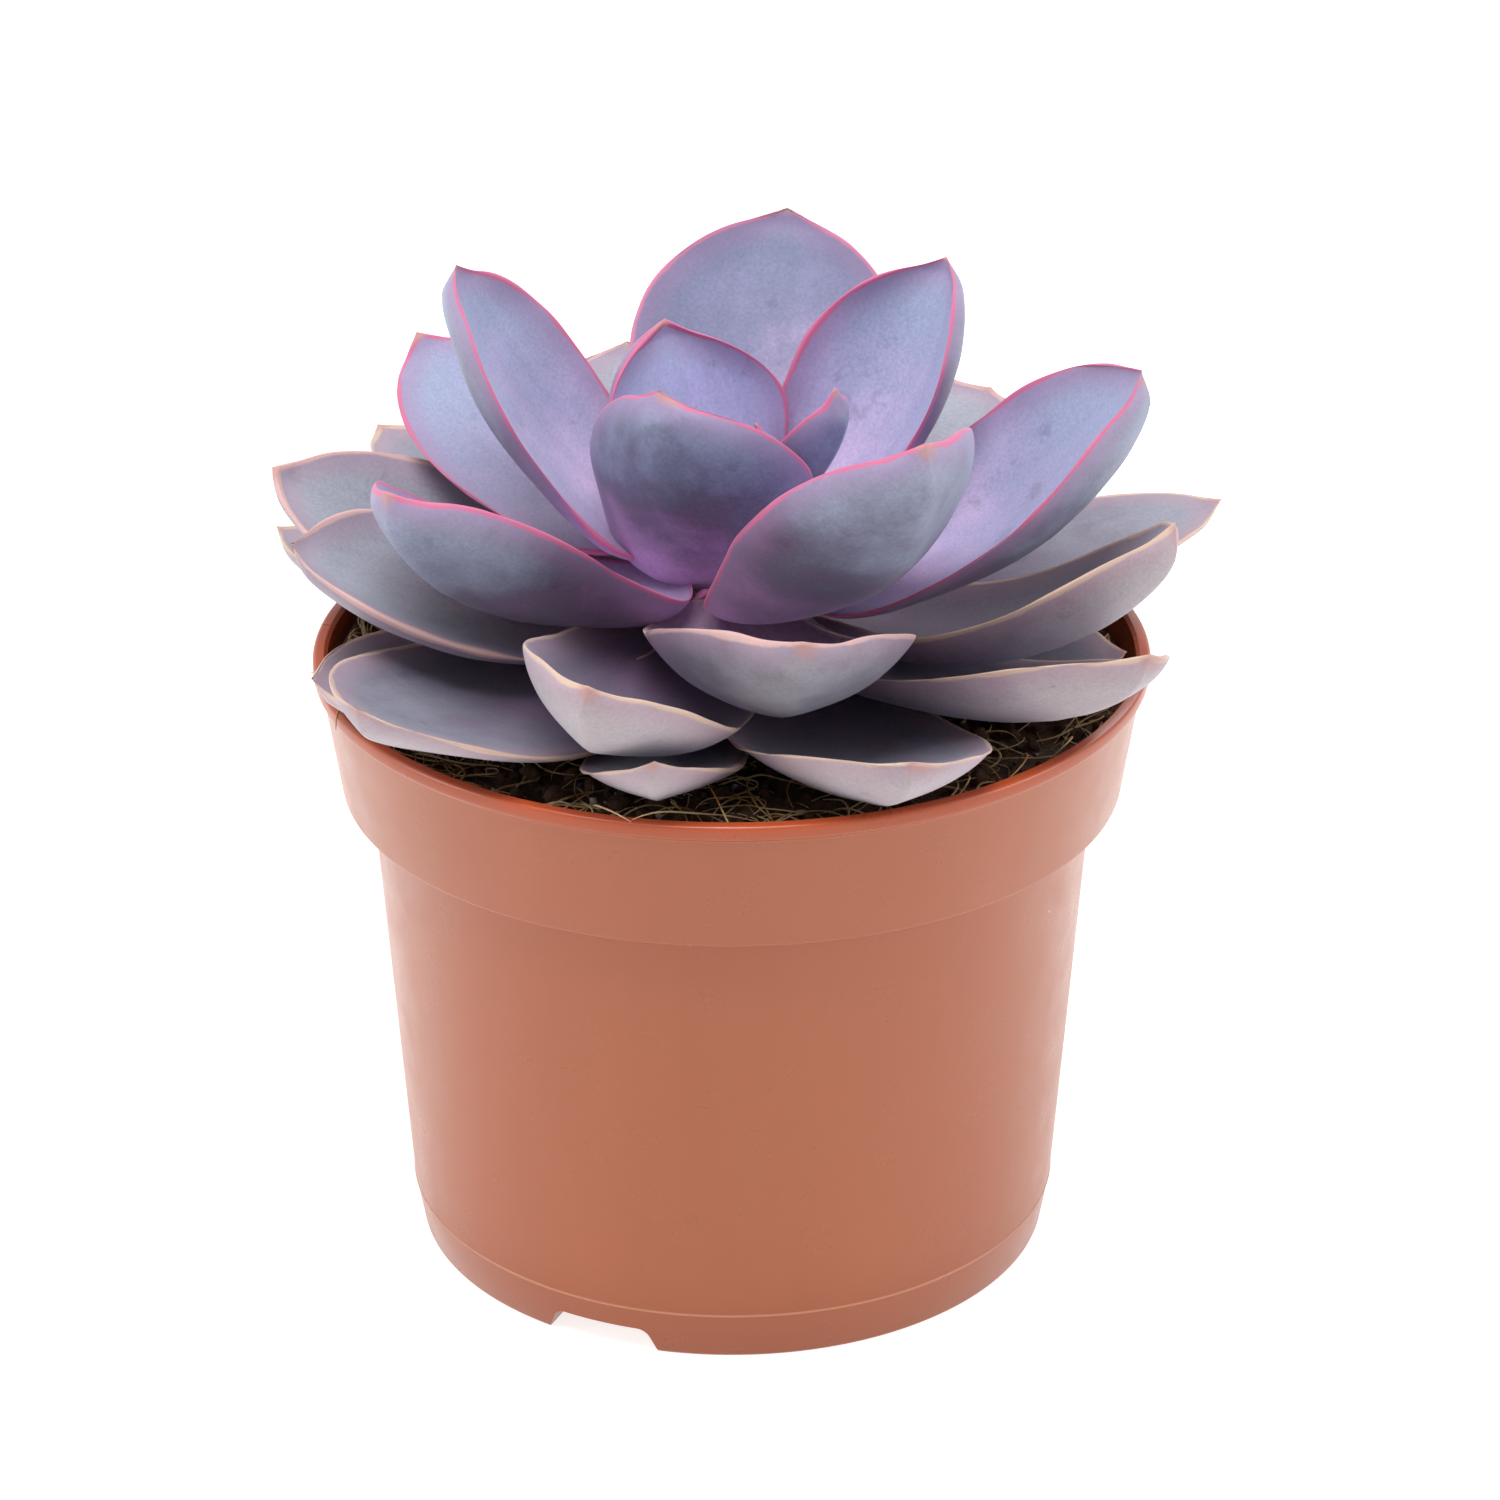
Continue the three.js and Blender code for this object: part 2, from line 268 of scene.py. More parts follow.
for index in range(CHANNELS):
    boolean(pot_shell, channel_bar(index, 0), "DIFFERENCE")
boolean(pot_shell, drain_rods(), "DIFFERENCE")

# Polypropylene coloured with iron-oxide pigment: satin gloss, a little streaked by its flow into
# the mould, and painted redder towards the lip, as light shining through the thin lip.
pot_plastic, tree = new_material("moulded_polypropylene")
where = add_node(tree, "ShaderNodeTexCoord").outputs["Object"]
height = add_node(tree, "ShaderNodeSeparateXYZ", {"Vector": where}).outputs["Z"]
flow_place = add_node(tree, "ShaderNodeMapping", {"Vector": where, "Scale": (60, 60, 14)})
flow = add_node(
    tree, "ShaderNodeTexNoise",
    {"Vector": flow_place.outputs["Vector"], "Scale": 1.0, "Detail": 4.0, "Roughness": 0.55},
)
flow_colour = add_node(
    tree, "ShaderNodeMixRGB",
    {"Fac": flow.outputs["Fac"], "Color1": linear("#a25530"), "Color2": linear("#ab5e39")},
)
# Painted light: the colour turns redder towards the top of the lip, as light shining through it.
painted_lip_glow = add_node(
    tree, "ShaderNodeMapRange",
    {"Value": height, "From Min": lip_bottom - 1.5 * MM, "From Max": pot_height, "To Max": 0.85},
    interpolation_type="SMOOTHSTEP",
)
lip_colour = add_node(
    tree, "ShaderNodeMixRGB",
    {"Fac": painted_lip_glow.outputs["Result"], "Color1": flow_colour.outputs["Color"],
     "Color2": linear("#b04820")},
)
# Painted shade: the wall is painted darker towards the foot.
foot_shade = add_node(
    tree, "ShaderNodeMapRange",
    {"Value": height, "From Min": 16 * MM, "From Max": 0.0, "To Max": 0.5},
    interpolation_type="SMOOTHSTEP",
)
foot_colour = add_node(
    tree, "ShaderNodeMixRGB",
    {"Fac": foot_shade.outputs["Result"], "Color1": lip_colour.outputs["Color"],
     "Color2": linear("#974a22")},
)
# Painted highlight: the mould line's ridge is painted paler than the wall round it, as the glint it
# catches.
from_line = add_node(tree, "ShaderNodeMath", {0: height, 1: mould_line.y}, operation="SUBTRACT")
off_line = add_node(tree, "ShaderNodeMath", {0: from_line.outputs["Value"]}, operation="ABSOLUTE")
mould_highlight_amount = add_node(
    tree, "ShaderNodeMapRange",
    {"Value": off_line.outputs["Value"], "From Min": 0.3 * MM, "From Max": 0.1 * MM, "To Max": 0.45},
)
mould_highlighted_colour = add_node(
    tree, "ShaderNodeMixRGB",
    {"Fac": mould_highlight_amount.outputs["Result"], "Color1": foot_colour.outputs["Color"],
     "Color2": linear("#d9a184")},
)
# Specks of dust and unmixed pigment, up to about 0.7 mm across, thinly scattered.
specks = add_node(tree, "ShaderNodeTexVoronoi", {"Vector": where, "Scale": 210.0})
speck_size = add_node(tree, "ShaderNodeTexNoise", {"Vector": where, "Scale": 95.0})
speck_limit = add_node(
    tree, "ShaderNodeMapRange",
    {"Value": speck_size.outputs["Fac"], "From Min": 0.64, "From Max": 0.72, "To Max": 0.07},
)
speck = add_node(
    tree, "ShaderNodeMath",
    {0: specks.outputs["Distance"], 1: speck_limit.outputs["Result"]}, operation="LESS_THAN",
)
speck_kind = add_node(
    tree, "ShaderNodeMapRange", {"Value": specks.outputs["Color"], "From Min": 0.45, "From Max": 0.5},
)
speck_tone = add_node(
    tree, "ShaderNodeMixRGB",
    {"Fac": speck_kind.outputs["Result"], "Color1": linear("#5e3020"), "Color2": linear("#ecd6c8")},
)
speck_amount = add_node(tree, "ShaderNodeMath", {0: speck.outputs["Value"], 1: 0.6}, operation="MULTIPLY")
pot_colour = add_node(
    tree, "ShaderNodeMixRGB",
    {"Fac": speck_amount.outputs["Value"], "Color1": mould_highlighted_colour.outputs["Color"],
     "Color2": speck_tone.outputs["Color"]},
)
scuffs = add_node(tree, "ShaderNodeTexNoise", {"Vector": where, "Scale": 160.0, "Detail": 5.0})
pot_roughness = add_node(
    tree, "ShaderNodeMapRange",
    {"Value": scuffs.outputs["Fac"], "From Min": 0.3, "From Max": 0.7, "To Min": 0.26, "To Max": 0.34},
)
ripple = add_node(tree, "ShaderNodeTexNoise", {"Vector": where, "Scale": 70.0, "Detail": 2.0})
pot_bump = add_node(
    tree, "ShaderNodeBump",
    {"Height": ripple.outputs["Fac"], "Strength": 0.12, "Distance": 0.1 * MM},
)
pot_shader = add_node(
    tree, "ShaderNodeBsdfPrincipled",
    {"Base Color": pot_colour.outputs["Color"], "Roughness": pot_roughness.outputs["Result"],
     "Normal": pot_bump.outputs["Normal"], "IOR": 1.49},
)
add_node(tree, "ShaderNodeOutputMaterial", {"Surface": pot_shader.outputs["BSDF"]})

form = bmesh.new()
form.from_mesh(pot_shell.data)
bpy.data.objects.remove(pot_shell)
pot = keep_mesh("nursery_pot", form, pot_plastic, ["pot"])
pot.data.set_sharp_from_angle(angle=math.radians(32))

# ---- Soil ---------------------------------------------------------------------------
# Dark, crumbly peat mixed with coconut fibre and grains of white perlite. Its top lies a little
# below the lip, uneven where it was pressed in by hand.

soil_low, soil_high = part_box("soil")
soil_radius = (soil_high.x - soil_low.x) / 2
soil_top = soil_high.z
SOIL_DIP = 2 * MM
SOIL_BOTTOM = 6.2 * MM
SOIL_GAP = 0.3 * MM # between the soil and the wall


def soil_level(x, y):
    """The height of the lumpy top of the soil at a place, in metres."""
    from_axis = math.hypot(x, y) / soil_radius
    dip = SOIL_DIP * (1 - min(1, from_axis / 0.7) ** 2)
    lumps = noise.fractal(Vector((x, y, 0)) * 140, 0.9, 2.1, 4)
    broad = noise.noise(Vector((x, y, 3)) * 40)
    # It was pushed up against the wall on the left, and a little on the right.
    banked = max(0, -x / soil_radius) ** 2 * 3.4 * MM + max(0, x / soil_radius) ** 3 * 1.2 * MM
    bank = banked * max(0, (from_axis - 0.7) / 0.3) ** 1.5
    return soil_top - dip + bank + lumps * 0.9 * MM + broad * 1.2 * MM


rings = 60
profile = [(0, soil_top)]
profile += [(soil_radius * ring / rings, soil_top) for ring in range(1, rings)]
profile += [
    (soil_radius, soil_top - 0.5 * MM),
    (collar_bottom_radius - WALL - SOIL_GAP, ledge + WALL + SOIL_GAP),
    (body_top_radius - WALL - SOIL_GAP, ledge + WALL + SOIL_GAP),
    (mould_line.x - WALL - SOIL_GAP, mould_line.y),
    (mould_line.x - WALL - 0.5 * MM, SOIL_BOTTOM),
    (0, SOIL_BOTTOM),
]
form = turned_form(profile, 200)
for vert in form.verts:
    if vert.co.z > soil_top - 0.6 * MM:
        vert.co.z = soil_level(vert.co.x, vert.co.y)

# Moist peat: dark and matt, with paler crumbs where it has dried.
peat, tree = new_material("moist_peat")
where = add_node(tree, "ShaderNodeTexCoord").outputs["Object"]
clods = add_node(
    tree, "ShaderNodeTexNoise",
    {"Vector": where, "Scale": 420.0, "Detail": 6.0, "Roughness": 0.7},
)
grains = add_node(tree, "ShaderNodeTexVoronoi", {"Vector": where, "Scale": 1100.0})
clod_mix = add_node(
    tree, "ShaderNodeMapRange",
    {"Value": clods.outputs["Fac"], "From Min": 0.38, "From Max": 0.68},
)
clod_colour = add_node(
    tree, "ShaderNodeMixRGB",
    {"Fac": clod_mix.outputs["Result"], "Color1": linear("#23160f"), "Color2": linear("#6b4c38")},
)
grain_mix = add_node(
    tree, "ShaderNodeMapRange",
    {"Value": grains.outputs["Distance"], "From Min": 0.0, "From Max": 0.6, "To Min": 0.35, "To Max": 0.0},
)
grain_colour = add_node(
    tree, "ShaderNodeMixRGB",
    {"Fac": grain_mix.outputs["Result"], "Color1": clod_colour.outputs["Color"],
     "Color2": linear("#7a5b42")},
)
crumble = add_node(
    tree, "ShaderNodeBump",
    {"Height": clods.outputs["Fac"], "Strength": 0.9, "Distance": 0.8 * MM},
)
peat_shader = add_node(
    tree, "ShaderNodeBsdfPrincipled",
    {"Base Color": grain_colour.outputs["Color"], "Roughness": 0.92, "Normal": crumble.outputs["Normal"]},
)
add_node(tree, "ShaderNodeOutputMaterial", {"Surface": peat_shader.outputs["BSDF"]})
keep_mesh("soil_bed", form, peat, ["soil"])

# Loose crumbs of peat and grains of perlite lie on top, strewn evenly over it.
draw = random.Random(7)
HANDFUL = 30


def lump(form, smallest, largest, sunk):
    """Adds one small angular lump that lies somewhere on the soil."""
    from_axis = (soil_radius - 1.2 * MM) * math.sqrt(draw.uniform(0.02, 1))
    angle = draw.uniform(0, 2 * math.pi)
    x, y = from_axis * math.cos(angle), from_axis * math.sin(angle)
    radius = smallest + (largest - smallest) * draw.random() ** 2.5
    place = Matrix.Translation((x, y, soil_level(x, y) + radius * (0.6 - sunk)))
    turn = Euler([draw.uniform(0, 6.28) for _ in range(3)]).to_matrix().to_4x4()
    stretch = Matrix.Diagonal((1, draw.uniform(0.6, 1), draw.uniform(0.45, 0.9), 1))
    made = bmesh.ops.create_icosphere(
        form, subdivisions=2, radius=radius, matrix=place @ turn @ stretch,
    )["verts"]
    for vert in made:
        vert.co += (vert.co - place.translation) * draw.uniform(-0.28, 0.28)


def scattered(count, smallest, largest, sunk):
    """Lumps strewn over the soil, as one mesh. They are made in handfuls, which is much quicker."""
    form = bmesh.new()
    for _ in range(count // HANDFUL):
        handful = bmesh.new()
        for _ in range(HANDFUL):
            lump(handful, smallest, largest, sunk)
        mesh = bpy.data.meshes.new("handful")
        handful.to_mesh(mesh)
        handful.free()
        form.from_mesh(mesh)
        bpy.data.meshes.remove(mesh)
    return form


keep_mesh("soil_crumbs", scattered(1500, 0.35 * MM, 1.9 * MM, 0.3), peat)

# Expanded perlite: a chalky, off-white glass foam, pitted with open pores.
perlite, tree = new_material("expanded_perlite")
where = add_node(tree, "ShaderNodeTexCoord").outputs["Object"]
pores = add_node(tree, "ShaderNodeTexNoise", {"Vector": where, "Scale": 1500.0, "Detail": 4.0})
perlite_colour = add_node(
    tree, "ShaderNodeMixRGB",
    {"Fac": pores.outputs["Fac"], "Color1": linear("#a89c8e"), "Color2": linear("#efeae2")},
)
pitted = add_node(
    tree, "ShaderNodeBump",
    {"Height": pores.outputs["Fac"], "Strength": 0.8, "Distance": 0.3 * MM},
)
perlite_shader = add_node(
    tree, "ShaderNodeBsdfPrincipled",
    {"Base Color": perlite_colour.outputs["Color"], "Roughness": 0.85, "Normal": pitted.outputs["Normal"]},
)
add_node(tree, "ShaderNodeOutputMaterial", {"Surface": perlite_shader.outputs["BSDF"]})
keep_mesh("perlite_grains", scattered(120, 0.3 * MM, 1.1 * MM, 0.2), perlite)

# Coconut fibres, curled and up to three centimetres long, lie on the soil, matted on the left, and
# a few reach over the lip. They are straw-coloured, with browner stretches.
coir, tree = new_material("coconut_fibre")
where = add_node(tree, "ShaderNodeTexCoord").outputs["Object"]
strands = add_node(tree, "ShaderNodeTexNoise", {"Vector": where, "Scale": 160.0, "Detail": 3.0})
coir_mix = add_node(
    tree, "ShaderNodeMapRange", {"Value": strands.outputs["Fac"], "From Min": 0.35, "From Max": 0.65},
)
coir_colour = add_node(
    tree, "ShaderNodeMixRGB",
    {"Fac": coir_mix.outputs["Result"], "Color1": linear("#a3773f"), "Color2": linear("#ead0a0")},
)
coir_shader = add_node(
    tree, "ShaderNodeBsdfPrincipled",
    {"Base Color": coir_colour.outputs["Color"], "Roughness": 0.6},
)
add_node(tree, "ShaderNodeOutputMaterial", {"Surface": coir_shader.outputs["BSDF"]})


def fibre(curve, points, thickness):
    """One smooth hair through some points, thinner towards its ends."""
    hair = curve.splines.new("NURBS")
    hair.points.add(len(points) - 1)
    hair.order_u = 4
    hair.use_endpoint_u = True
    for i, point in enumerate(points):
        hair.points[i].co = (*point, 1)
        hair.points[i].radius = thickness * (1 - 0.6 * abs(2 * i / (len(points) - 1) - 1) ** 3)


FIBRES = 560
MATTED_FIBRES = 120
MATTED_FROM, MATTED_TO = math.radians(150), math.radians(222)
fibres = bpy.data.curves.new("coir_fibres", "CURVE")
fibres.dimensions = "3D"
fibres.bevel_depth = 0.12 * MM
fibres.bevel_resolution = 1
fibres.resolution_u = 3
for index in range(FIBRES):
    matted = index < MATTED_FIBRES
    from_axis = (soil_radius - 2 * MM) * math.sqrt(draw.uniform(0.75 if matted else 0.15, 1))
    angle = draw.uniform(MATTED_FROM, MATTED_TO) if matted else draw.uniform(0, 2 * math.pi)
    at = Vector((from_axis * math.cos(angle), from_axis * math.sin(angle), 0))
    heading = draw.uniform(0, 2 * math.pi)
    bend = draw.uniform(-0.5, 0.5)
    lift = draw.uniform(0.4, 2.2) * MM
    steps = draw.randint(5, 12)
    points = []
    for step in range(steps):
        if at.length > soil_radius - MM:
            at.length = soil_radius - MM
        arch = math.sin(math.pi * step / (steps - 1)) * lift
        points.append(Vector((at.x, at.y, soil_level(at.x, at.y) + 0.15 * MM + arch)))
        heading += bend + draw.uniform(-0.5, 0.5)
        stride = draw.uniform(1.2, 2.6) * MM
        at = at + Vector((math.cos(heading), math.sin(heading), 0)) * stride
    fibre(fibres, points, draw.uniform(0.6, 1.5))


def rim_point(angle, inward, above_lip):
    """A point by the pot's lip: an angle in degrees, and millimetres inward and above it."""
    radius = lip_radius - inward * MM
    turn = math.radians(angle)
    return Vector((radius * math.cos(turn), radius * math.sin(turn), pot_height + above_lip * MM))


# The fibres that reach the lip: each is a list of (angle, inward, above the lip).
STRAYS = [
    [(247, 14, -5), (248.5, 9, -3), (250, 5, -0.6), (252, 2.6, 0.6), (255, 1.2, 0.5), (257, 0.2, 0)],
    [(257, 0.5, 0.2), (259, 2.2, 0.8), (262, 4.5, 0), (265, 7, -1.5), (270, 10, -3), (274, 12, -5)],
    [(262, 20, -2), (265, 14, 1.5), (268, 8, 0), (270, 4, -2.5), (271, 3.2, -4.5)],
    [(195, 9, -4), (193, 5, -0.5), (192, 2.5, 0.8), (190, 0.6, 0.6), (188.5, -0.6, -0.4)],
    [(199, 8, -4), (200, 4, 0), (201, 1.5, 0.8), (203, 0, 0.2), (205, -0.8, -1.5)],
    [(205, 8, -4), (204, 5, -1), (202, 3, 0.6), (199, 2, 0.9), (196, 2.6, 0.4), (194, 5, -2)],
    [(209, 6, -3), (208, 3, 0), (206.5, 1, 0.7), (204, 0.4, 0.4), (202, 2, 0.3)],
    [(322, 10, -4), (320, 7, -1), (318, 5, -0.2), (315, 4, -1), (312, 5, -3)],
    [(331, 9, -5), (329, 5, -1.5), (327, 3.4, 0), (324, 3.2, -0.5), (321, 5, -3)],
    [(312, 12, -4), (309, 8, -1.5), (306, 5, -0.6), (303, 4, -2), (301, 4.5, -4)],
    [(20, 8, -4), (21, 5, 0), (22, 2, 0.8), (24, 0.3, 0.3)],
    [(75, 9, -4), (78, 5, -1), (81, 3, 0.2), (85, 3.5, -1), (88, 6, -3)],
    [(130, 8, -4), (133, 4, -0.5), (135, 1, 0.7), (137, -0.3, 0)],
]
for stray in STRAYS:
    fibre(fibres, [rim_point(*stop) for stop in stray], 1.2)
strand = bpy.data.objects.new("fibre_curves", fibres)
bpy.context.scene.collection.objects.link(strand)
form = bmesh.new()
view = bpy.context.evaluated_depsgraph_get()
form.from_mesh(bpy.data.meshes.new_from_object(strand.evaluated_get(view)))
bpy.data.objects.remove(strand)
keep_mesh("coir_fibres", form, coir)

# ---- Stem ---------------------------------------------------------------------------
# A short woody stem carries the rosette. Its skin is ringed by the scars of leaves that fell, and
# it tapers into the heart of the plant.

stem_low, stem_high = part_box("stem")
stem_radius = (stem_high.x - stem_low.x) / 2
STEM_STEPS = 40
TAPER_START = 97 * MM
TAPER_LENGTH = 7.3 * MM
profile = [(0, stem_low.z), (stem_radius * 0.7, stem_low.z)]
for step in range(STEM_STEPS + 1):
    along = step / STEM_STEPS
    level = stem_low.z + 3 * MM + (stem_high.z - 3.5 * MM - stem_low.z) * along
    taper = max(0.2, 1 - (max(0, level - TAPER_START) / TAPER_LENGTH) ** 0.8 * 0.8)
    scar = 0.35 * MM * math.sin(along * 40)
    profile.append((stem_radius * taper * 0.94 + scar * taper, level))
profile.append((0, stem_high.z))
form = turned_form(profile, 48)
for vert in form.verts:
    if vert.co.xy.length > 0.5 * MM:
        vert.co.xy *= 1 + 0.05 * noise.noise(vert.co * 400)
# Stem bark: rough and wine-brown below, turning pink where it is young; the pink is its own, painted paler
# as well, as light in the shaded heart of the plant.
bark, tree = new_material("succulent_stem_bark")
where = add_node(tree, "ShaderNodeTexCoord").outputs["Object"]
bark_place = add_node(tree, "ShaderNodeMapping", {"Vector": where, "Scale": (300, 300, 900)})
scars = add_node(
    tree, "ShaderNodeTexNoise",
    {"Vector": bark_place.outputs["Vector"], "Scale": 1.0, "Detail": 5.0},
)
bark_colour = add_node(
    tree, "ShaderNodeMixRGB",
    {"Fac": scars.outputs["Fac"], "Color1": linear("#4e2638"), "Color2": linear("#8d7468")},
)
stem_level = add_node(tree, "ShaderNodeSeparateXYZ", {"Vector": where}).outputs["Z"]
# The young part's own pink, painted paler as well, as light in the shaded heart of the plant.
young_part = add_node(
    tree, "ShaderNodeMapRange", {"Value": stem_level, "From Min": 88 * MM, "From Max": 98 * MM},
)
stem_colour = add_node(
    tree, "ShaderNodeMixRGB",
    {"Fac": young_part.outputs["Result"], "Color1": bark_colour.outputs["Color"],
     "Color2": linear("#c06a9c")},
)
ridges = add_node(
    tree, "ShaderNodeBump",
    {"Height": scars.outputs["Fac"], "Strength": 0.8, "Distance": 0.4 * MM},
)
bark_shader = add_node(
    tree, "ShaderNodeBsdfPrincipled",
    {"Base Color": stem_colour.outputs["Color"], "Roughness": 0.75, "Normal": ridges.outputs["Normal"]},
)
add_node(tree, "ShaderNodeOutputMaterial", {"Surface": bark_shader.outputs["BSDF"]})
keep_mesh("leafless_stem", form, bark, ["stem"])

# ---- Leaves -------------------------------------------------------------------------
# Thick, waxy leaves grow in a spiral round the stem, each a spoon with a keel under it and a small
# point at its tip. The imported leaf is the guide: its grid of rings is rounded into living form.

RINGS = 12
SPOKES = 12
SUBDIVISIONS = 3
CLASP = 4 # rings by the base that clasp the stem
CLASP_REACH = 3.5 * MM
PUSH_UP = 3.5 * MM # how far the leaves above push up the base of a full-grown leaf
KEEL_START = 3 # ring where the keel begins
KEEL_PUSH = 1.3 * MM
POINT_LENGTH = 1.2 * MM
LARGE_LEAF = 25 * MM
BASE_WIDENING = 1.6
BLUNT_END = ((RINGS - 2, 0.06), (RINGS - 1, 0.28)) # how much wider these rings are made
MARGIN_PUSH = 0.42


def leaf_grid(node):
    """A copy of a packed leaf as a grid of rings, and its twelve lines from base to tip."""
    form = bmesh.new()
    form.from_mesh(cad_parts[node].data)
    form.verts.layers.float.new("across")
    form.verts.layers.float.new("side")
    form.verts.layers.float.new("crease_vert")
    form.edges.layers.float.new("crease_edge")
    bmesh.ops.remove_doubles(form, verts=form.verts, dist=0.02 * MM)
    poles = [vert for vert in form.verts if len(vert.link_edges) == SPOKES]
    base = min(poles, key=lambda vert: vert.co.xy.length)
    ring = {base: 0}
    front = [base]
    while front:
        reached = [edge.other_vert(vert) for vert in front for edge in vert.link_edges]
        count = ring[front[0]] + 1
        front = list(dict.fromkeys(vert for vert in reached if vert not in ring))
        for vert in front:
            ring[vert] = count
    slanting = set()
    for face in form.faces:
        top = max(face.loops, key=lambda loop: ring[loop.vert])
        below = [vert for vert in face.verts if ring[vert] < ring[top.vert]]
        if len(below) == 2 and ring[top.vert] < RINGS:
            slanting.add(top.link_loop_prev.edge)
    bmesh.ops.dissolve_edges(form, edges=list(slanting), use_verts=False)
    lines = []
    loop = next(iter(base.link_loops))
    for _ in range(SPOKES):
        line = [base, loop.edge.other_vert(base)]
        edge = loop.edge
        while len(line) <= RINGS:
            end = line[-1]
            beside = set(edge.link_faces)
            edge = next(e for e in end.link_edges if not beside & set(e.link_faces))
            line.append(edge.other_vert(end))
        lines.append(line)
        loop = loop.link_loop_prev.link_loop_radial_next
    return form, lines


def spread(line, other):
    """How far apart two lines of a leaf lie, summed over their rings."""
    return sum((one.co - two.co).length for one, two in zip(line, other))


def turned_to_face(lines):
    """The lines in order round the leaf: first the middle of its upper face, then a margin."""
    half = SPOKES // 2
    widest = max(range(half), key=lambda k: spread(lines[k], lines[k + half]))
    quarter = SPOKES // 4
    chord = [(a.co + b.co) / 2 for a, b in zip(lines[widest], lines[widest + half])]
    ups = [(widest + quarter) % SPOKES, (widest + quarter + half) % SPOKES]
    upper = min(ups, key=lambda k: sum((v.co - c).length for v, c in zip(lines[k], chord)))
    return lines[upper:] + lines[:upper]


def widened(lines, ring, wider):
    """Draws one ring of a leaf out sideways, along the chord from margin to margin."""
    quarter = SPOKES // 4
    left, right = lines[quarter][ring].co.copy(), lines[-quarter][ring].co.copy()
    middle, chord = (left + right) / 2, (left - right).normalized()
    for line in lines:
        line[ring].co += chord * (line[ring].co - middle).dot(chord) * wider


def grown_leaf(node, seed, pushed_up):
    """The finished mesh of one leaf, with the attributes that its skin reads."""
    form, lines = leaf_grid(node)
    lines = turned_to_face(lines)
    across = form.verts.layers.float["across"]
    side = form.verts.layers.float["side"]
    crease = form.edges.layers.float["crease_edge"]
    sharp_point = form.verts.layers.float["crease_vert"]
    for spoke, line in enumerate(lines):
        turn = 2 * math.pi * spoke / SPOKES
        for vert in line[1:-1]:
            vert[across] = math.sin(turn)
            vert[side] = math.cos(turn)
    # The base of a large leaf clasps the stem, so it is drawn out sideways there.
    large = (lines[0][-1].co - lines[0][0].co).length > LARGE_LEAF
    for ring in range(1, CLASP if large else 1):
        widened(lines, ring, BASE_WIDENING * (1 - ring / CLASP) ** 2)
        if pushed_up:
            for line in lines:
                line[ring].co.z += PUSH_UP * (1 - ring / (CLASP + 1)) ** 2
    if pushed_up:
        lines[0][0].co.z += PUSH_UP
    lines[0][0].co -= (lines[0][1].co - lines[0][0].co).normalized() * CLASP_REACH
    # A blunt end carries the small point at the tip.
    for ring, wider in BLUNT_END:
        widened(lines, ring, wider)
    # Rounding draws the margins in, so they start further out, and the keel is sharper at the tip.
    for spoke in (SPOKES // 4, -SPOKES // 4):
        before, margin, after = lines[spoke - 1], lines[spoke], lines[(spoke + 1) % SPOKES]
        for a, vert, b in list(zip(before, margin, after))[1:-1]:
            vert.co += (vert.co - (a.co + b.co) / 2) * MARGIN_PUSH
    half = SPOKES // 2
    keel = lines[half]
    for ring in range(KEEL_START, RINGS):
        share = (ring - KEEL_START + 1) / (RINGS - KEEL_START)
        form.edges.get((keel[ring], keel[ring + 1]))[crease] = min(1, 1.2 * share)
        beside = (lines[half - 1][ring].co + lines[half + 1][ring].co) / 2
        keel[ring].co += (keel[ring].co - beside).normalized() * KEEL_PUSH * share * (1 - share ** 6)
    base, tip = keel[0].co.copy(), keel[-1].co.copy()
    point = (tip - keel[-3].co).normalized()
    keel[-1].co += point * POINT_LENGTH
    keel[-1][sharp_point] = 1
    mesh = bpy.data.meshes.new("grid")
    form.to_mesh(mesh)
    form.free()
    piece = bpy.data.objects.new("grid", mesh)
    bpy.context.scene.collection.objects.link(piece)
    rounding = piece.modifiers.new("rounding", "SUBSURF")
    rounding.levels = SUBDIVISIONS
    rounding.render_levels = SUBDIVISIONS
    bpy.context.view_layer.update()
    applied(piece)
    mesh = piece.data
    bpy.data.objects.remove(piece)
    length = (tip - base).length
    form = bmesh.new()
    form.from_mesh(mesh)
    form.normal_update()
    margin_mm = form.verts.layers.float.new("margin_mm")
    along = form.verts.layers.float.new("along")
    side = form.verts.layers.float["side"]
    edge_points = [
        vert.co.copy() for vert in form.verts
        if abs(vert[side]) < 0.03 and (vert.co - base).length > 0.02 * length
    ]
    tree = kdtree.KDTree(len(edge_points))
    for i, place in enumerate(edge_points):
        tree.insert(place, i)
    tree.balance()
    offset = Vector((seed * 3.1, seed * 1.7, seed * 0.9))
    for vert in form.verts:
        far = tree.find(vert.co)[2]
        vert[margin_mm] = far / MM
        vert[along] = min(1, (vert.co - base).length / length)
        free = min(1, vert[along] * 2.5) * min(1, length / (40 * MM))
        broad = noise.noise(vert.co * 55 + offset) * 0.42
        fine = noise.noise(vert.co * 190 + offset) * 0.09
        near_margin = math.exp(-far / (2.5 * MM)) * noise.noise(vert.co * 120 - offset) * 0.3
        vert.co += vert.normal * (broad + fine + near_margin) * free * MM
    return form


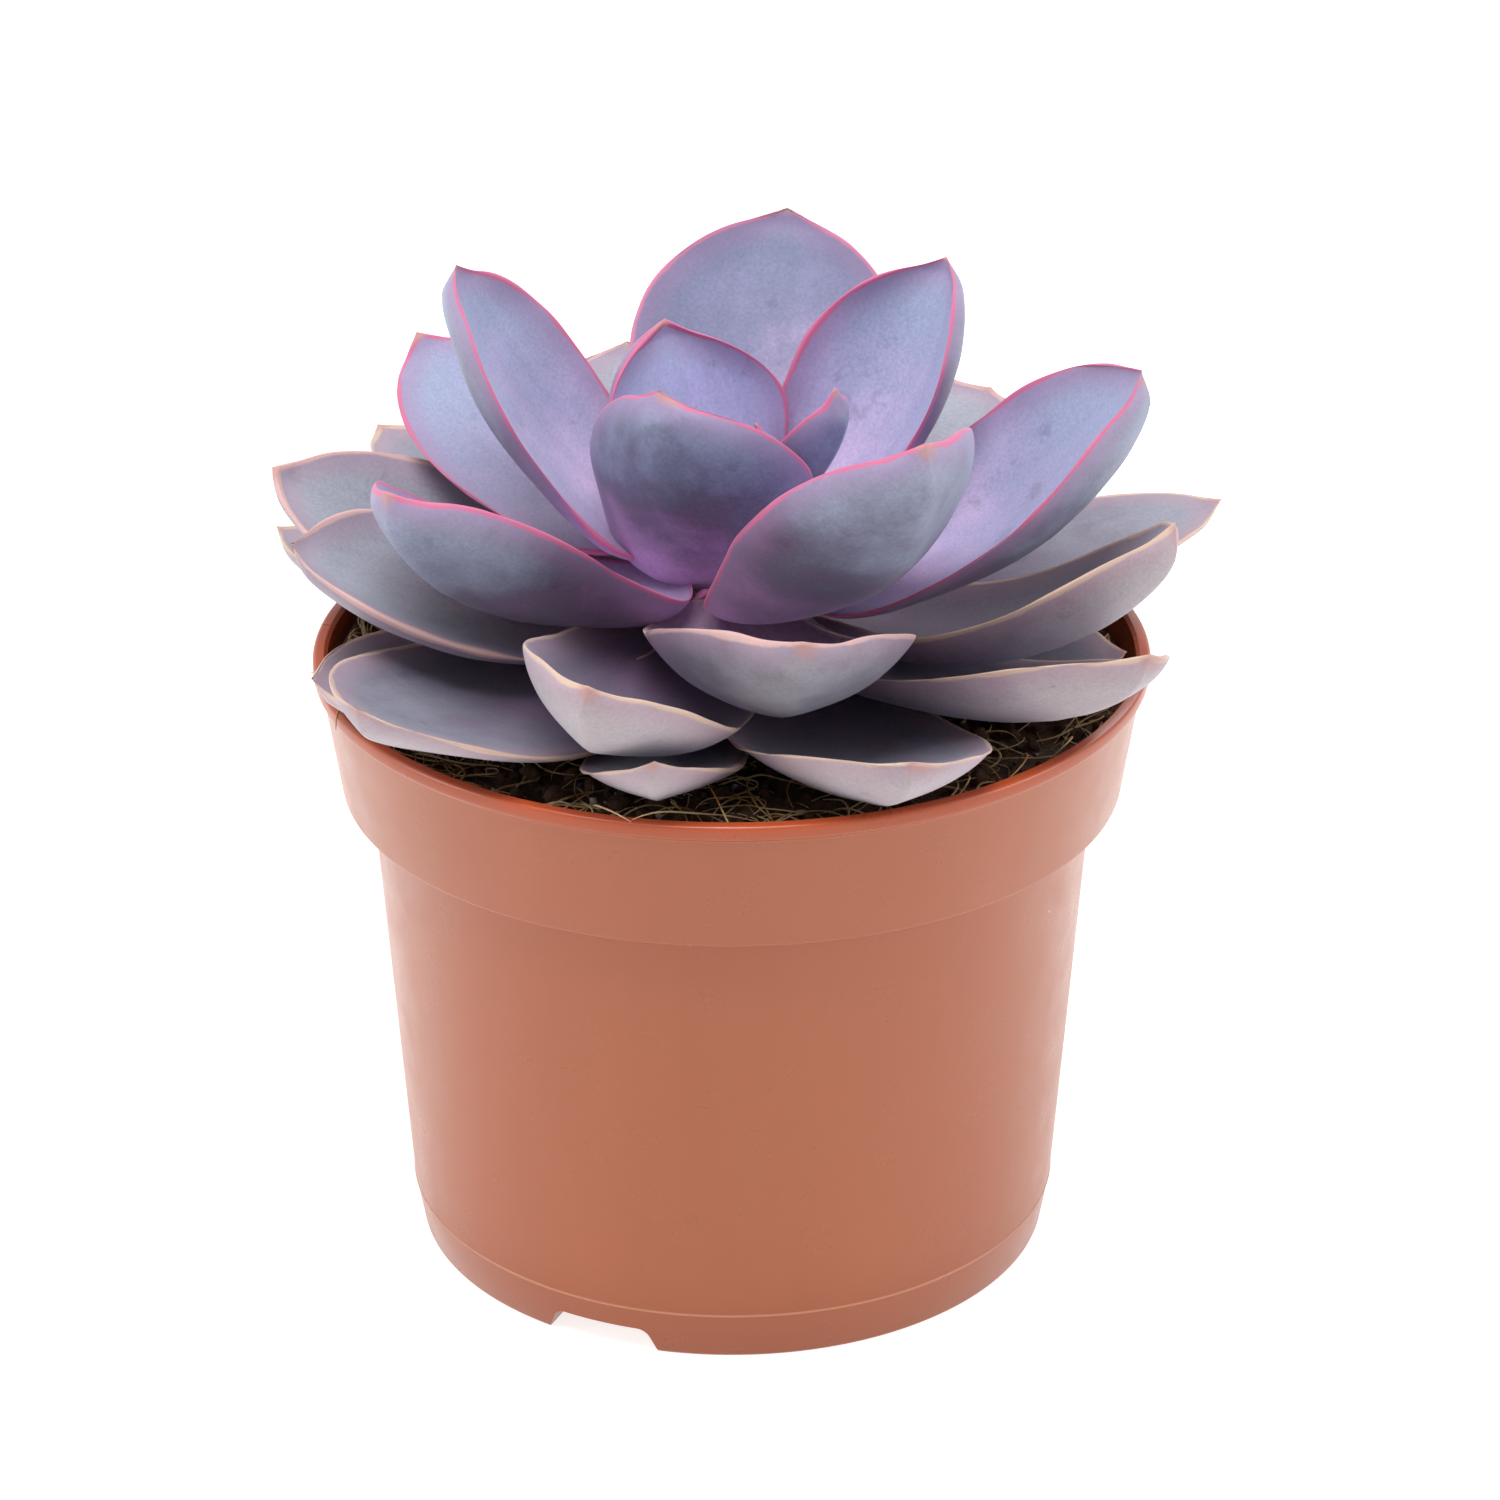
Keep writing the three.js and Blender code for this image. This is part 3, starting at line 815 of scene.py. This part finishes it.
def leaf_skin(name, face, face_base, face_tip, back, back_base, back_tip, margin, flush, scars):
    """The skin of a leaf under its powdery wax: colours of the upper face and the back, the line
    round the margin, the flush beside it, and how many brown scars it has."""
    made, tree = new_material(name)
    where = add_node(tree, "ShaderNodeTexCoord").outputs["Object"]
    along = add_node(tree, "ShaderNodeAttribute", attribute_name="along").outputs["Fac"]
    side = add_node(tree, "ShaderNodeAttribute", attribute_name="side").outputs["Fac"]
    across = add_node(tree, "ShaderNodeAttribute", attribute_name="across").outputs["Fac"]
    to_margin = add_node(tree, "ShaderNodeAttribute", attribute_name="margin_mm").outputs["Fac"]
    # Cloudy tone over about 10 mm, and fine grain of the wax over about 0.5 mm.
    clouds = add_node(
        tree, "ShaderNodeTexNoise", {"Vector": where, "Scale": 95.0, "Detail": 4.0, "Roughness": 0.6},
    ).outputs["Fac"]
    grain = add_node(
        tree, "ShaderNodeTexNoise", {"Vector": where, "Scale": 1900.0, "Detail": 3.0, "Roughness": 0.7},
    ).outputs["Fac"]
    # Faint veins run from base to tip.
    vein_place = add_node(tree, "ShaderNodeCombineXYZ", {"X": across, "Y": along, "Z": side})
    vein_stretch = add_node(
        tree, "ShaderNodeMapping", {"Vector": vein_place.outputs["Vector"], "Scale": (9, 1.2, 9)},
    )
    veins = add_node(
        tree, "ShaderNodeTexNoise",
        {"Vector": vein_stretch.outputs["Vector"], "Scale": 1.0, "Detail": 3.0},
    ).outputs["Fac"]
    unsure = add_node(tree, "ShaderNodeMath", {0: clouds, 1: 0.5}, operation="SUBTRACT").outputs["Value"]
    shifted = add_node(
        tree, "ShaderNodeMath", {0: unsure, 1: 0.7, 2: along}, operation="MULTIPLY_ADD",
    ).outputs["Value"]
    near_base = add_node(
        tree, "ShaderNodeMapRange",
        {"Value": shifted, "From Min": 0.75, "From Max": 0.12}, interpolation_type="SMOOTHSTEP",
    ).outputs["Result"]
    near_tip = add_node(
        tree, "ShaderNodeMapRange",
        {"Value": shifted, "From Min": 0.55, "From Max": 1.0}, interpolation_type="SMOOTHSTEP",
    ).outputs["Result"]
    # Toward the base the face turns pink, its own colour, and is painted paler as well, as light where the
    # base lies in shade deep in the rosette.
    face_low = add_node(
        tree, "ShaderNodeMixRGB", {"Fac": near_base, "Color1": linear(face), "Color2": linear(face_base)},
    ).outputs["Color"]
    face_all = add_node(
        tree, "ShaderNodeMixRGB", {"Fac": near_tip, "Color1": face_low, "Color2": linear(face_tip)},
    ).outputs["Color"]
    back_low = add_node(
        tree, "ShaderNodeMixRGB", {"Fac": near_base, "Color1": linear(back), "Color2": linear(back_base)},
    ).outputs["Color"]
    back_all = add_node(
        tree, "ShaderNodeMixRGB", {"Fac": near_tip, "Color1": back_low, "Color2": linear(back_tip)},
    ).outputs["Color"]
    upper = add_node(
        tree, "ShaderNodeMapRange",
        {"Value": side, "From Min": -0.3, "From Max": 0.2}, interpolation_type="SMOOTHSTEP",
    ).outputs["Result"]
    skin = add_node(
        tree, "ShaderNodeMixRGB",
        {"Fac": upper, "Color1": back_all, "Color2": face_all},
    ).outputs["Color"]
    vein_tone = add_node(
        tree, "ShaderNodeMapRange",
        {"Value": veins, "From Min": 0.3, "From Max": 0.7, "To Min": 0.97, "To Max": 1.03},
    ).outputs["Result"]
    grain_tone = add_node(
        tree, "ShaderNodeMapRange",
        {"Value": grain, "From Min": 0.3, "From Max": 0.7, "To Min": 0.87, "To Max": 1.13},
    ).outputs["Result"]
    # The powdery wax is rubbed off in patches, where the skin is darker and shinier.
    rubs = add_node(
        tree, "ShaderNodeTexNoise", {"Vector": where, "Scale": 120.0, "Detail": 5.0, "Roughness": 0.65},
    ).outputs["Fac"]
    rubbed = add_node(
        tree, "ShaderNodeMapRange",
        {"Value": rubs, "From Min": 0.6, "From Max": 0.68}, interpolation_type="SMOOTHSTEP",
    ).outputs["Result"]
    rub_tone = add_node(
        tree, "ShaderNodeMapRange", {"Value": rubbed, "To Min": 1.02, "To Max": 0.84},
    ).outputs["Result"]
    rubbed_grain = add_node(
        tree, "ShaderNodeMath", {0: rub_tone, 1: grain_tone}, operation="MULTIPLY",
    ).outputs["Value"]
    tone = add_node(
        tree, "ShaderNodeMath",
        {0: vein_tone, 1: rubbed_grain}, operation="MULTIPLY",
    ).outputs["Value"]
    toned = add_node(tree, "ShaderNodeVectorMath", {0: skin, 1: tone}, operation="MULTIPLY")
    # The flush fades over about 5 mm from the margin, and the line itself is under 1 mm wide.
    flush_amount = add_node(
        tree, "ShaderNodeMapRange",
        {"Value": to_margin, "From Min": 5.5, "From Max": 0.8, "To Max": 0.55},
        interpolation_type="SMOOTHSTEP",
    ).outputs["Result"]
    flushed = add_node(
        tree, "ShaderNodeMixRGB",
        {"Fac": flush_amount, "Color1": toned.outputs["Vector"], "Color2": linear(flush)},
    ).outputs["Color"]
    wander = add_node(
        tree, "ShaderNodeMath", {0: unsure, 1: 1.6, 2: to_margin}, operation="MULTIPLY_ADD",
    ).outputs["Value"]
    line = add_node(
        tree, "ShaderNodeMapRange",
        {"Value": wander, "From Min": 0.85, "From Max": 0.4, "To Max": 0.9},
        interpolation_type="SMOOTHSTEP",
    ).outputs["Result"]
    edged = add_node(
        tree, "ShaderNodeMixRGB", {"Fac": line, "Color1": flushed, "Color2": linear(margin)},
    ).outputs["Color"]
    # Brown scars, a millimetre or two across, where the skin was knocked.
    knocks = add_node(
        tree, "ShaderNodeTexNoise", {"Vector": where, "Scale": 260.0, "Detail": 3.0, "Roughness": 0.5},
    ).outputs["Fac"]
    knock = add_node(
        tree, "ShaderNodeMapRange",
        {"Value": knocks, "From Min": 0.78 - scars, "From Max": 0.81 - scars, "To Max": 0.75},
    ).outputs["Result"]
    scarred = add_node(
        tree, "ShaderNodeMixRGB", {"Fac": knock, "Color1": edged, "Color2": linear("#7a5548")},
    ).outputs["Color"]
    # The dry point at the very tip.
    dry = add_node(
        tree, "ShaderNodeMapRange", {"Value": along, "From Min": 0.99, "From Max": 1.0, "To Max": 0.7},
    ).outputs["Result"]
    tipped = add_node(
        tree, "ShaderNodeMixRGB", {"Fac": dry, "Color1": scarred, "Color2": linear("#b98a80")},
    ).outputs["Color"]
    roughness = add_node(
        tree, "ShaderNodeMapRange", {"Value": rubbed, "To Min": 0.52, "To Max": 0.36},
    ).outputs["Result"]
    powder = add_node(
        tree, "ShaderNodeBump", {"Height": grain, "Strength": 0.35, "Distance": 0.08 * MM},
    ).outputs["Normal"]
    shader = add_node(
        tree, "ShaderNodeBsdfPrincipled",
        {"Base Color": tipped, "Roughness": roughness, "Normal": powder, "IOR": 1.42,
         "Subsurface Weight": 0.12, "Subsurface Radius": (1.0, 0.45, 0.5), "Subsurface Scale": 1.5 * MM,
         "Sheen Weight": 0.25, "Sheen Roughness": 0.45, "Sheen Tint": linear("#d5dcf2")},
    )
    add_node(tree, "ShaderNodeOutputMaterial", {"Surface": shader.outputs["BSDF"]})
    return made


# Painted light: the heart's leaves get a copy of the young skin with a paler face, as light falling into
# the heart.
lit_heart_skin = leaf_skin(
    "lit_heart_leaf_skin", face="#b2b0d8", face_base="#cbb0d8", face_tip="#a9b1d2",
    back="#50445a", back_base="#c094c0", back_tip="#868eaa", margin="#cc668c", flush="#a07fa6", scars=0.0,
)
young_skin = leaf_skin(
    "young_leaf_skin", face="#9d9cc0", face_base="#cbb4d8", face_tip="#949dbb",
    back="#5f5268", back_base="#b686b4", back_tip="#9197ae", margin="#cc668c", flush="#a07fa6", scars=0.0,
)
# Painted shade: a copy of the young skin with a darker face, for the crown's back leaf.
shaded_skin = leaf_skin(
    "shaded_leaf_skin", face="#8c8aac", face_base="#cfb8dc", face_tip="#787e9c",
    back="#5f5268", back_base="#b686b4", back_tip="#9197ae", margin="#cd7c9c", flush="#9a7fa4", scars=0.0,
)
grown_skin = leaf_skin(
    "grown_leaf_skin", face="#918d9a", face_base="#bb9abb", face_tip="#9295a2",
    back="#655867", back_base="#a87a9a", back_tip="#8f8d95", margin="#cfa8a3", flush="#a3849a", scars=0.012,
)
old_skin = leaf_skin(
    "old_leaf_skin", face="#767080", face_base="#806484", face_tip="#8c8c9a",
    back="#9d8f9b", back_base="#7f6380", back_tip="#b0a6aa", margin="#d0b39e", flush="#ae8d9b", scars=0.03,
)
SKINS = {"bud": lit_heart_skin, "heart": lit_heart_skin, "inner": young_skin, "crown": young_skin,
         "mid": grown_skin, "low": old_skin, "bottom": old_skin}
UNLIKE_THEIR_TIER = {
    "leaf_crown_back": shaded_skin, "leaf_mid_left_front": young_skin,
    "leaf_mid_back_left": young_skin, "leaf_mid_right_back": old_skin,
    "leaf_mid_right": old_skin,
}
leaf_nodes = sorted(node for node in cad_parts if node.startswith("leaf_"))
for seed, node in enumerate(leaf_nodes):
    tier = node.split("_")[1]
    slot = "outer_leaf" if tier in ("mid", "low", "bottom") else "inner_leaf"
    skin = UNLIKE_THEIR_TIER.get(node, SKINS[tier])
    name = node.removeprefix("leaf_") + "_leaf"
    keep_mesh(name, grown_leaf(node, seed, slot == "outer_leaf"), skin, [node])

# ---- Floor and light ----------------------------------------------------------------
# A plain white table in a light tent, with soft, even light from all round.

paper, tree = new_material("white_table")
where = add_node(tree, "ShaderNodeTexCoord").outputs["Object"]
fibre_tone = add_node(tree, "ShaderNodeTexNoise", {"Vector": where, "Scale": 30.0})
paper_colour = add_node(
    tree, "ShaderNodeMixRGB",
    {"Fac": fibre_tone.outputs["Fac"], "Color1": linear("#c6c6c6"), "Color2": linear("#cacaca")},
)
glow_rays = add_node(tree, "ShaderNodeLightPath")
glow = add_node(
    tree, "ShaderNodeMapRange",
    {"Value": glow_rays.outputs["Is Diffuse Ray"], "To Min": 0.8, "To Max": 0.42},
)
paper_shader = add_node(
    tree, "ShaderNodeBsdfPrincipled",
    {"Base Color": paper_colour.outputs["Color"], "Roughness": 0.9,
     "Emission Color": linear("#ffffff"), "Emission Strength": glow.outputs["Result"]},
)
add_node(tree, "ShaderNodeOutputMaterial", {"Surface": paper_shader.outputs["BSDF"]})
form = bmesh.new()
bmesh.ops.create_grid(form, x_segments=4, y_segments=4, size=6)
mesh = bpy.data.meshes.new("floor")
form.to_mesh(mesh)
form.free()
mesh.materials.append(paper)
floor = bpy.data.objects.new("floor", mesh)
bpy.context.scene.collection.objects.link(floor)

world = bpy.data.worlds.new("light_tent")
world.use_nodes = True
bpy.context.scene.world = world
world.node_tree.nodes.clear()
rays = add_node(world.node_tree, "ShaderNodeLightPath")
tent_strength = add_node(
    world.node_tree, "ShaderNodeMapRange",
    {"Value": rays.outputs["Is Diffuse Ray"], "To Min": 1.0, "To Max": 0.36},
)
tent = add_node(
    world.node_tree, "ShaderNodeBackground",
    {"Color": linear("#ffffff"), "Strength": tent_strength.outputs["Result"]},
)
add_node(world.node_tree, "ShaderNodeOutputWorld", {"Surface": tent.outputs["Background"]})


def softbox(name, place, width, power):
    """A square soft light that points at the plant."""
    lamp = bpy.data.lights.new(name, "AREA")
    lamp.shape = "SQUARE"
    lamp.size = width
    lamp.energy = power
    made = bpy.data.objects.new(name, lamp)
    made.location = place
    made.rotation_euler = (Vector(place) - Vector((0, 0, 0.09))).to_track_quat("Z", "Y").to_euler()
    bpy.context.scene.collection.objects.link(made)


softbox("overhead_softbox", (-0.15, -0.3, 1.25), 0.8, 15.5)
softbox("back_softbox", (0.5, 0.9, 0.9), 0.7, 4)
softbox("right_softbox", (1.25, -0.2, 0.4), 0.6, 5)
softbox("left_softbox", (-1.25, -0.2, 0.4), 0.6, 4.5)

bpy.context.scene.view_settings.view_transform = "Standard"
